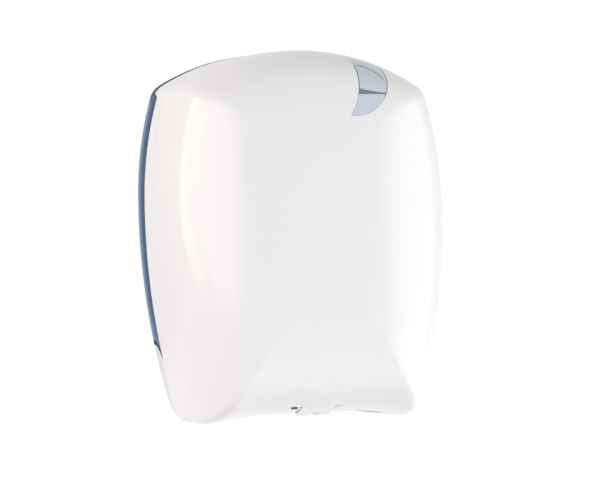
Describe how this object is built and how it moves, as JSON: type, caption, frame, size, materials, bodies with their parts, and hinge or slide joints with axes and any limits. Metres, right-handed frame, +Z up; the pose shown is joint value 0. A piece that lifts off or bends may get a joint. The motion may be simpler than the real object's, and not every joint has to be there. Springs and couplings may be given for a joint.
{
  "type": "centrefeed roll dispenser",
  "caption": "Wall-mounted centrefeed paper roll dispenser with a bulging drop-down cover, smoky rim, crescent level window and a press latch under its front lip.",
  "frame": {"origin": "centre of the four wall screw holes, on the wall face of the back plate", "axes": "+Z up, +Y into the wall, so the front faces -Y; +X to the right seen from the front"},
  "size_m": [0.256, 0.2466, 0.3504],
  "materials": {
    "cover_white": "glossy moulded white",
    "body_white": "satin moulded white",
    "inner_ivory": "satin moulded off-white",
    "smoky": "smoky blue see-through plastic",
    "steel": "plain zinc-coated steel",
    "grey": "grey moulded plastic"
  },
  "bodies": {
    "base": {"back_plate": "body_white", "smoky_rim": "smoky", "rim_screws": "steel", "roll_shelf": "inner_ivory", "shelf_screws": "steel", "outlet_cone": "body_white", "cone_screws": "steel", "grip_star": "grey", "outlet_collar": "body_white", "latch_keeper": "steel", "keeper_screws": "steel", "hinge_pin_left": "steel", "hinge_pin_right": "steel"},
    "cover": {"front_cover": "cover_white", "level_window": "smoky", "hinge_arm_left": "inner_ivory", "hinge_arm_right": "inner_ivory", "hinge_bush_left": "grey", "hinge_bush_right": "grey", "arm_screws": "steel", "latch_bracket": "inner_ivory", "bracket_screws": "steel", "latch_pin": "steel", "latch_spring": "steel"},
    "latch": {"latch_tab": "cover_white"}
  },
  "joints": [
    {"name": "cover_hinge", "type": "hinge", "parent": "base", "child": "cover", "pos_m": [0, -0.015, -0.203], "axis": [1, 0, 0], "range_deg": [0, 90]},
    {"name": "latch_press", "type": "hinge", "parent": "cover", "child": "latch", "pos_m": [0, -0.21, -0.16761], "axis": [1, 0, 0], "range_deg": [0, 12], "stiffness_Nm_per_rad": 0.3, "springref_deg": -20.05, "deforming": ["latch_spring"]}
  ]
}
